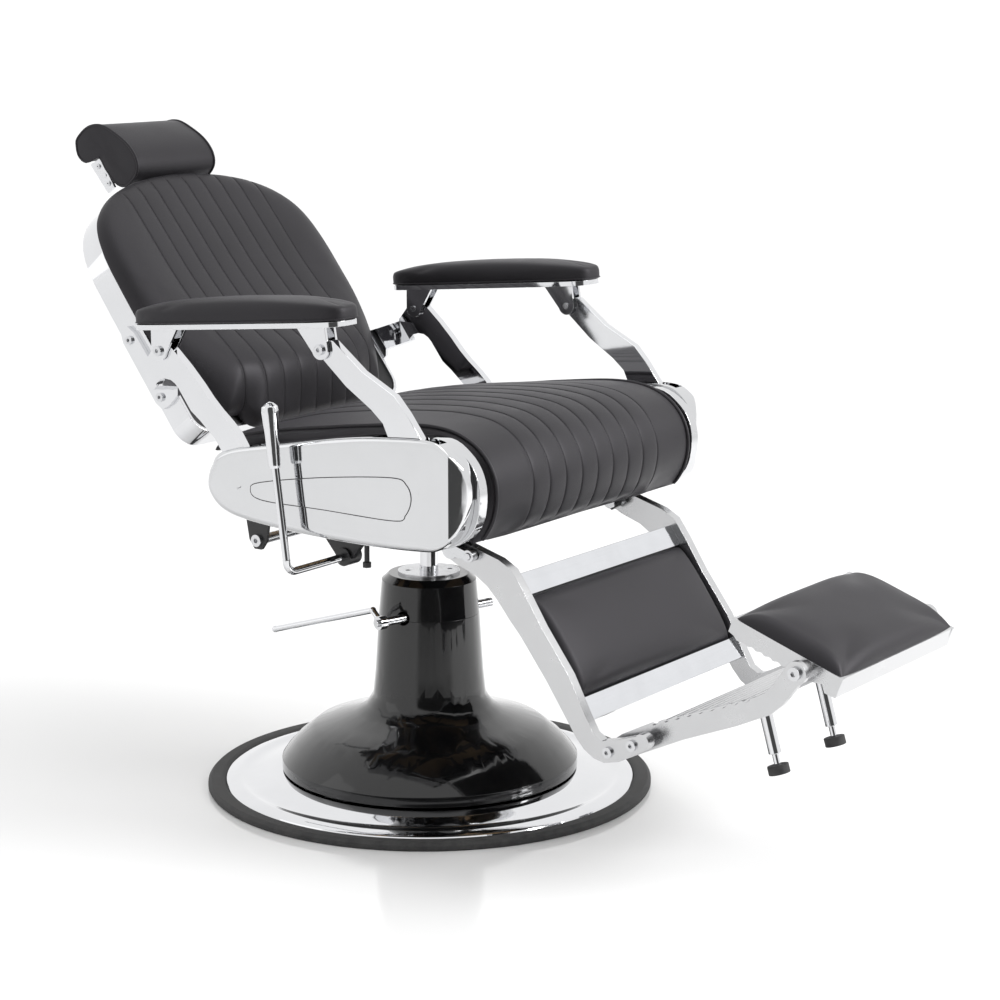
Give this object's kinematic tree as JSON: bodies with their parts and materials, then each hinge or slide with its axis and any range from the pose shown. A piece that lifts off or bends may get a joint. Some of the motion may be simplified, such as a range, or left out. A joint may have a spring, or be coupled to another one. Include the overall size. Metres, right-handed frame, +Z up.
{
  "type": "hydraulic barber chair",
  "caption": "Reclining hydraulic barber chair with padded seat, arched back, armrests, headrest, leg rest and flip-over foot pad on a swivelling pump column.",
  "frame": {"origin": "centre of the base's underside, on the floor, on the swivel axis", "axes": "+X the way the sitter faces, +Y the sitter's left, +Z up; modelled at the lowest height with the back reclined"},
  "size_m": [1.5046, 0.7403, 1.0404],
  "materials": {
    "rubber": "matt moulded rubber",
    "chrome": "mirror chrome plate",
    "black_enamel": "deep gloss black enamel",
    "polished_alloy": "polished and lightly brushed",
    "ground_steel": "ground steel",
    "black_steel": "satin black paint",
    "plywood": "plain plywood",
    "black_board": "plywood board painted satin black",
    "leatherette": "fine-grained black leatherette with a low sheen"
  },
  "bodies": {
    "base": {"floor_ring": "rubber", "base_disc": "chrome", "column_shell": "black_enamel", "pump_collar": "black_enamel", "pump_body": "black_steel", "top_cap": "ground_steel", "cap_screws": "ground_steel"},
    "pump_lever": {"pump_shaft": "ground_steel", "pump_lever_rod": "chrome"},
    "lift": {"lift_ram": "chrome"},
    "seat": {"swivel_hub": "black_steel", "seat_frame": "black_steel", "side_cover_right": "chrome", "side_cover_left": "chrome", "inset_panels": "chrome", "side_panels": "chrome", "seat_board": "plywood", "seat_cushion": "leatherette", "front_arm_pins": "ground_steel", "rear_brace": "black_steel", "lever_bracket": "black_steel", "seat_bumpers": "rubber", "lock_cylinder": "black_steel"},
    "backrest": {"back_frame": "chrome", "back_panel": "black_board", "back_cushion": "leatherette", "recline_shaft": "ground_steel", "rear_arm_right": "chrome", "rear_arm_left": "chrome", "back_bolts": "ground_steel", "headrest_guide": "chrome"},
    "front_arm_right": {"front_arm_right": "chrome"},
    "front_arm_left": {"front_arm_left": "chrome"},
    "armrest_right": {"armrest_plate_right": "chrome", "armrest_pad_right": "leatherette", "armrest_bolts_right": "ground_steel"},
    "armrest_left": {"armrest_plate_left": "chrome", "armrest_pad_left": "leatherette", "armrest_bolts_left": "ground_steel"},
    "recline_lever": {"lever_rod": "chrome", "lever_handle": "chrome"},
    "lock_rod": {"lock_rod": "ground_steel"},
    "link_bar": {"link_bar": "ground_steel"},
    "leg_rest": {"leg_shaft": "ground_steel", "leg_bar_right": "polished_alloy", "leg_bar_left": "polished_alloy", "leg_cross_bars": "polished_alloy", "calf_board": "black_board", "calf_pad": "leatherette", "leg_bolts": "ground_steel", "step_plates": "polished_alloy", "step_tread": "polished_alloy", "step_legs": "chrome", "step_feet": "rubber"},
    "foot_pad": {"pad_frame": "polished_alloy", "pad_cushion": "leatherette", "pad_bolts": "ground_steel"},
    "headrest_post": {"headrest_bar": "chrome"},
    "headrest": {"headrest_bracket": "chrome", "headrest_pillow": "leatherette"}
  },
  "joints": [
    {"name": "pump_lever_hinge", "type": "hinge", "parent": "base", "child": "pump_lever", "pos_m": [0.02793, -0.0078, 0.287], "axis": [-0.2689, -0.9632, 0], "range_deg": [0, 22], "stiffness_Nm_per_rad": 2, "springref_deg": -22.92},
    {"name": "lift_slide", "type": "slide", "parent": "base", "child": "lift", "axis": [0, 0, 1], "range_m": [0, 0.15]},
    {"name": "seat_swivel", "type": "hinge", "parent": "lift", "child": "seat", "pos_m": [0, 0, 0.4], "axis": [0, 0, 1], "continuous": true},
    {"name": "recline", "type": "hinge", "parent": "seat", "child": "backrest", "pos_m": [-0.095, 0, 0.545], "axis": [0, -1, 0], "range_deg": [-20, 12]},
    {"name": "front_arm_right_hinge", "type": "hinge", "parent": "seat", "child": "front_arm_right", "pos_m": [0.223, -0.323, 0.572], "axis": [0, -1, 0], "range_deg": [-20, 12]},
    {"name": "front_arm_left_hinge", "type": "hinge", "parent": "seat", "child": "front_arm_left", "pos_m": [0.223, 0.323, 0.572], "axis": [0, -1, 0], "range_deg": [-20, 12]},
    {"name": "armrest_right_hinge", "type": "hinge", "parent": "backrest", "child": "armrest_right", "pos_m": [-0.263, -0.323, 0.722], "axis": [0, -1, 0], "range_deg": [-12, 20]},
    {"name": "armrest_left_hinge", "type": "hinge", "parent": "backrest", "child": "armrest_left", "pos_m": [-0.263, 0.323, 0.722], "axis": [0, -1, 0], "range_deg": [-12, 20]},
    {"name": "leg_rest_hinge", "type": "hinge", "parent": "seat", "child": "leg_rest", "pos_m": [0.22, 0, 0.455], "axis": [0, -1, 0], "range_deg": [-20, 12]},
    {"name": "link_bar_hinge", "type": "hinge", "parent": "backrest", "child": "link_bar", "pos_m": [-0.057, -0.247, 0.541], "axis": [0, -1, 0], "range_deg": [-12, 20]},
    {"name": "lock_slide", "type": "slide", "parent": "seat", "child": "lock_rod", "axis": [1, 0, 0], "range_m": [-0.0162, 0.0098]},
    {"name": "recline_lever_hinge", "type": "hinge", "parent": "seat", "child": "recline_lever", "pos_m": [0.008, -0.28, 0.414], "axis": [0, -1, 0], "range_deg": [0, 16], "stiffness_Nm_per_rad": 6, "springref_deg": -17.19},
    {"name": "foot_pad_flip", "type": "hinge", "parent": "leg_rest", "child": "foot_pad", "pos_m": [0.779, 0, 0.346], "axis": [0, -1, 0], "range_deg": [-160, 0]},
    {"name": "headrest_slide", "type": "slide", "parent": "backrest", "child": "headrest_post", "axis": [-0.5948, 0, 0.8039], "range_m": [0, 0.08]},
    {"name": "headrest_tilt", "type": "hinge", "parent": "headrest_post", "child": "headrest", "pos_m": [-0.59988, 0, 0.96135], "axis": [0, -1, 0], "range_deg": [0, 25]}
  ],
  "couplings": [
    {"joint": "front_arm_right_hinge", "follows": "recline", "ratio": 1},
    {"joint": "front_arm_left_hinge", "follows": "recline", "ratio": 1},
    {"joint": "armrest_right_hinge", "follows": "recline", "ratio": -1},
    {"joint": "armrest_left_hinge", "follows": "recline", "ratio": -1},
    {"joint": "leg_rest_hinge", "follows": "recline", "ratio": 1},
    {"joint": "link_bar_hinge", "follows": "recline", "ratio": -1},
    {"joint": "lock_slide", "follows": "recline", "m_per_rad": 0.045}
  ]
}
